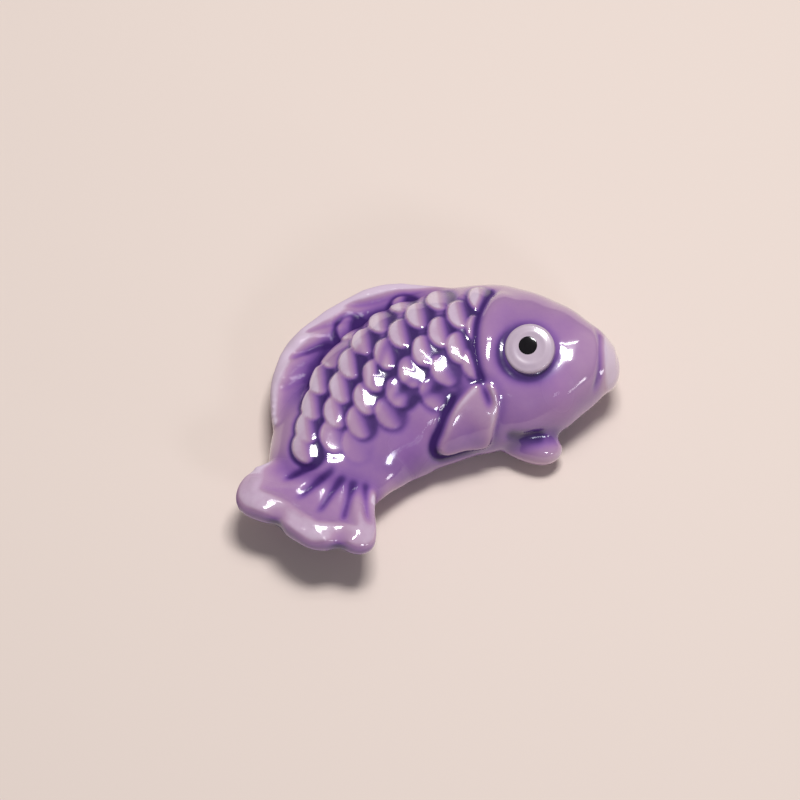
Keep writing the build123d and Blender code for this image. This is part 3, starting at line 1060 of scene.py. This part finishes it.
class Nodes:
    # short way to make and link the nodes of one material
    def __init__(self, name):
        self.material = bpy.data.materials.new(name)
        self.material.use_nodes = True
        self.tree = self.material.node_tree
        self.shader = self.tree.nodes["Principled BSDF"]

    def add(self, kind, **values):
        node = self.tree.nodes.new(kind)
        for key, value in values.items():
            setattr(node, key, value)
        return node

    def link(self, source, target):
        self.tree.links.new(source, target)

    def set(self, name, value):
        # a shader's value, from a number, a colour or another node
        if isinstance(value, bpy.types.NodeSocket):
            self.link(value, self.shader.inputs[name])
        else:
            self.shader.inputs[name].default_value = value

    def math(self, operation, a, b):
        node = self.add("ShaderNodeMath", operation=operation)
        for socket, value in zip(node.inputs, (a, b)):
            if isinstance(value, (int, float)):
                socket.default_value = value
            else:
                self.link(value, socket)
        return node.outputs[0]

    def ramp(self, factor, stops):
        node = self.add("ShaderNodeValToRGB")
        elements = node.color_ramp.elements
        while len(elements) < len(stops):
            elements.new(0.5)
        for element, (place, colour) in zip(elements, stops):
            element.position = place
            element.color = (*colour, 1)
        self.link(factor, node.inputs[0])
        return node.outputs[0]

    def noise(self, size, detail=2.0):
        # size of the pattern in millimetres
        coords = self.add("ShaderNodeTexCoord")
        node = self.add("ShaderNodeTexNoise")
        node.inputs["Scale"].default_value = 1 / (size * millimetre)
        node.inputs["Detail"].default_value = detail
        self.link(coords.outputs["Object"], node.inputs["Vector"])
        return node.outputs["Fac"]


def glossy(nodes, roughness, coat, coatRoughness=0.03, ior=1.5):
    nodes.set("Roughness", roughness)
    nodes.set("IOR", ior)
    nodes.set("Coat Weight", coat)
    nodes.set("Coat Roughness", coatRoughness)
    nodes.set("Coat IOR", ior)


def purpleGlaze():
    nodes = Nodes("purple glaze")
    glossy(nodes, purple["roughness"], 1.0)
    depth = nodes.add("ShaderNodeAttribute", attribute_name="glazeDepthAndShade").outputs["Fac"]
    for size, strength in purple["patterns"]:
        pattern = nodes.math("MULTIPLY", nodes.math("SUBTRACT", nodes.noise(size), 0.5), strength)
        depth = nodes.math("ADD", depth, pattern)
    nodes.set("Base Color", nodes.ramp(depth, purple["tones"]))
    gloss = nodes.add("ShaderNodeAttribute", attribute_name="gloss").outputs["Fac"]
    nodes.set("Coat Weight", gloss)
    nodes.set("Specular IOR Level", nodes.math("MULTIPLY", gloss, purple["specular"]))
    rougher = nodes.math("MULTIPLY", nodes.math("SUBTRACT", 1.0, gloss), purple["dullRoughness"])
    nodes.set("Roughness", nodes.math("ADD", rougher, purple["roughness"]))
    return nodes.material


def mottledGlaze(name, finish):
    nodes = Nodes(name)
    glossy(nodes, finish["roughness"], finish["coat"])
    nodes.set("Base Color", nodes.ramp(nodes.noise(finish["pattern"]), finish["tones"]))
    return nodes.material


def bareClay():
    nodes = Nodes("bare clay")
    nodes.set("Roughness", clayFinish["roughness"])
    grain = nodes.noise(clayFinish["grain"], clayFinish["grainDetail"])
    nodes.set("Base Color", nodes.ramp(grain, clayFinish["tones"]))
    bump = nodes.add("ShaderNodeBump")
    bump.inputs["Strength"].default_value = clayFinish["pitStrength"]
    bump.inputs["Distance"].default_value = clayFinish["pitDepth"] * millimetre
    nodes.link(nodes.noise(clayFinish["pit"], clayFinish["pitDetail"]), bump.inputs["Height"])
    nodes.set("Normal", bump.outputs[0])
    return nodes.material


def shadeSmooth(obj):
    obj.data.polygons.foreach_set("use_smooth", [True] * len(obj.data.polygons))
    obj.data.update()


def toMetres(obj):
    obj.data.transform(Matrix.Scale(millimetre, 4))
    obj.data.update()


def turned(profile, place, steps, name):
    # turned piece: a profile of radius and level, spun round the local up direction
    bm = bmesh.new()
    line = [bm.verts.new((radius, 0, level)) for radius, level in profile]
    geom = line + [bm.edges.new(pair) for pair in zip(line[:-1], line[1:])]
    bmesh.ops.spin(
        bm, geom=geom, axis=(0, 0, 1), cent=(0, 0, 0), angle=2 * math.pi, steps=steps, use_merge=True
    )
    bmesh.ops.remove_doubles(bm, verts=bm.verts, dist=1e-5)
    bmesh.ops.recalc_face_normals(bm, faces=bm.faces)
    bmesh.ops.transform(bm, matrix=place, verts=bm.verts)
    return objectFrom(bm, name)


def placeOn(seat, normal, facing):
    up = Vector(normal)
    forward = Vector(facing)
    forward = (forward - up * forward.dot(up)).normalized()
    turn = Matrix((forward, up.cross(forward), up)).transposed().to_4x4()
    return Matrix.Translation(Vector(seat)) @ turn


# Pupil: a black drop let into the top of the eye
pupil = {
    "radius": 1.5,
    "ahead": -0.2,
    "side": 0.4,
    "sunk": 0.06,
    "dome": 0.16,
    "domeSteps": 14,
    "spinSteps": 48,
    "baseShare": 0.9,
    "depth": 0.3,
}


def makeEye(tree):
    # a low dome with a faint ring on it and a rounded shoulder
    seat, normal = eyeSeat(tree)
    _, _, ahead = spineFrame(arcLength)
    place = placeOn(seat, normal, ahead)
    radius, rounding = eye["radius"], eye["roundWidth"]
    profile = []
    for t in np.linspace(0, math.pi / 2, eye["domeSteps"]):
        out = radius * math.sin(t)
        past = max(0.0, (out - radius + rounding) / rounding)
        drop = eye["roundDrop"] * (1 - math.sqrt(max(0.0, 1 - past**2)))
        level = eye["rim"] + eye["dome"] * math.cos(t) ** eye["domePower"] + float(stripe(eye["ring"], out))
        profile.append((out, level - drop))
    profile += [(radius, eye["wall"]), (radius, -eye["depth"]), (0.0, -eye["depth"])]
    return turned(profile, place, eye["spinSteps"], "eye_button"), place


def makePupil(place):
    level = eye["rim"] + eye["dome"] - pupil["sunk"]
    spot = place @ Matrix.Translation((pupil["ahead"], pupil["side"], level))
    radius = pupil["radius"]
    turns = np.linspace(0, math.pi / 2, pupil["domeSteps"])
    profile = [(radius * math.sin(t), pupil["dome"] * math.cos(t)) for t in turns]
    profile += [(radius * pupil["baseShare"], -pupil["depth"]), (0.0, -pupil["depth"])]
    return turned(profile, spot, pupil["spinSteps"], "pupil_spot")


# Bare foot: the face that the glaze is wiped from, between two shares of the length. The glazed skin ends
# inside its thickness
foot = {"thickness": 0.3, "sunkShare": 0.5, "first": 0.125, "last": 0.775, "inset": 0.94, "sidePoints": 30}


def makeFoot():
    backSide, bellySide = [], []
    for share in np.linspace(foot["first"], foot["last"], foot["sidePoints"]):
        half, crown, widest, keel, shift = bodySection(share)
        width = half * math.sqrt(max(0.0, 1 - (widest / (widest - keel)) ** 2)) * foot["inset"]
        backSide.append(fishPoint(share * fishLength, shift + width))
        bellySide.append(fishPoint(share * fishLength, shift - width))
    rim = backSide + bellySide[::-1]
    bm = bmesh.new()
    made = bmesh.ops.create_circle(bm, segments=len(rim), radius=1, cap_ends=True)["verts"]
    for v, place in zip(made, rim):
        v.co = (place.x, place.y, 0)
    grown = bmesh.ops.extrude_face_region(bm, geom=bm.faces[:])["geom"]
    for v in [g for g in grown if isinstance(g, bmesh.types.BMVert)]:
        v.co.z = foot["thickness"]
    bmesh.ops.recalc_face_normals(bm, faces=bm.faces)
    return objectFrom(bm, "bare_foot")


carp, skinTree = buildCarp()
eyeButton, eyePlace = makeEye(skinTree)
pupilSpot = makePupil(eyePlace)
bareFoot = makeFoot()
for piece, material in (
    (carp, purpleGlaze()),
    (eyeButton, mottledGlaze("eye glaze", eyeFinish)),
    (pupilSpot, mottledGlaze("pupil glaze", pupilFinish)),
    (bareFoot, bareClay()),
):
    piece.data.materials.clear()
    piece.data.materials.append(material)
    shadeSmooth(piece)
    toMetres(piece)
finishPiece(carp, "root", "purple_glaze", "body", "tail_fin", "dorsal_fin", "pectoral_fin", "pelvic_fin")
finishPiece(eyeButton, "root", "eye_glaze", "eye")
finishPiece(pupilSpot, "root", "pupil_black", "pupil")
finishPiece(bareFoot, "root", "bare_clay")
print("pieces made:", [o.name for o in (carp, eyeButton, pupilSpot, bareFoot)])

# Camera: the photograph's angle, turned about the upright and looking down. From here on, metres
camera = {
    "turn": -30.0,
    "elevation": 64.0,
    "distance": 0.694,
    "lens": 200.0,
    "nearest": 0.01,
    "target": (-0.0021, -0.00184, 0.008),
}
turn, tilt = math.radians(camera["turn"]), math.radians(camera["elevation"])
viewRight = Vector((math.cos(turn), math.sin(turn), 0))
viewAway = Vector((-math.sin(turn), math.cos(turn), 0))
viewBack = viewAway * -math.cos(tilt) + Vector((0, 0, math.sin(tilt)))
lensData = bpy.data.cameras.new("camera")
lensData.lens = camera["lens"]
lensData.clip_start = camera["nearest"]
cameraObject = bpy.data.objects.new("camera", lensData)
cameraObject.location = Vector(camera["target"]) + viewBack * camera["distance"]
cameraObject.rotation_euler = (-viewBack).to_track_quat("-Z", "Y").to_euler()
scene.collection.objects.link(cameraObject)
scene.camera = cameraObject

# Light: a broad box nearly overhead, a thin strip behind it, a bluish one in front, a small low one at the
# snout, and a weak even surround. "lean" is how far to the right and away each leans from the upright
white, bluish = (1.0, 1.0, 1.0), (0.86, 0.9, 1.0)
lights = {
    "box": {"lean": (0.11, 0.18), "distance": 0.6, "size": (0.2, 0.11), "power": 2.75, "colour": white},
    "strip": {"lean": (0.11, 0.36), "distance": 0.6, "size": (0.24, 0.02), "power": 0.35, "colour": white},
    "front": {"lean": (0.95, -1.55), "distance": 0.6, "size": (0.12, 0.08), "power": 0.45, "colour": bluish},
    "low": {"lean": (4.5, -3.5), "distance": 0.5, "size": (0.08, 0.06), "power": 0.12, "colour": white},
}
surround = {"colour": (0.96, 0.96, 1.0), "strength": 0.17}
for name, light in lights.items():
    data = bpy.data.lights.new(name, "AREA")
    data.shape = "RECTANGLE"
    data.size, data.size_y = light["size"]
    data.energy = light["power"]
    data.color = light["colour"]
    lamp = bpy.data.objects.new(name, data)
    rightLean, awayLean = light["lean"]
    towards = (viewRight * rightLean + viewAway * awayLean + Vector((0, 0, 1))).normalized()
    lamp.location = Vector(camera["target"]) + towards * light["distance"]
    sideways = (viewRight - towards * viewRight.dot(towards)).normalized()
    lamp.rotation_euler = Matrix((sideways, towards.cross(sideways), towards)).transposed().to_euler()
    scene.collection.objects.link(lamp)

world = bpy.data.worlds.new("surround")
scene.world = world
world.use_nodes = True
background = world.node_tree.nodes["Background"]
background.inputs["Color"].default_value = (*surround["colour"], 1)
background.inputs["Strength"].default_value = surround["strength"]

# Floor: plain pale table
table = {"half": 0.6, "colour": (0.79, 0.669, 0.602), "roughness": 0.9, "specular": 0.1}
floorMesh = bmesh.new()
bmesh.ops.create_grid(floorMesh, x_segments=1, y_segments=1, size=table["half"])
floor = objectFrom(floorMesh, "floor")
tableNodes = Nodes("table")
tableNodes.set("Base Color", (*table["colour"], 1))
tableNodes.set("Roughness", table["roughness"])
tableNodes.set("Specular IOR Level", table["specular"])
floor.data.materials.append(tableNodes.material)
print("camera, light and floor set")
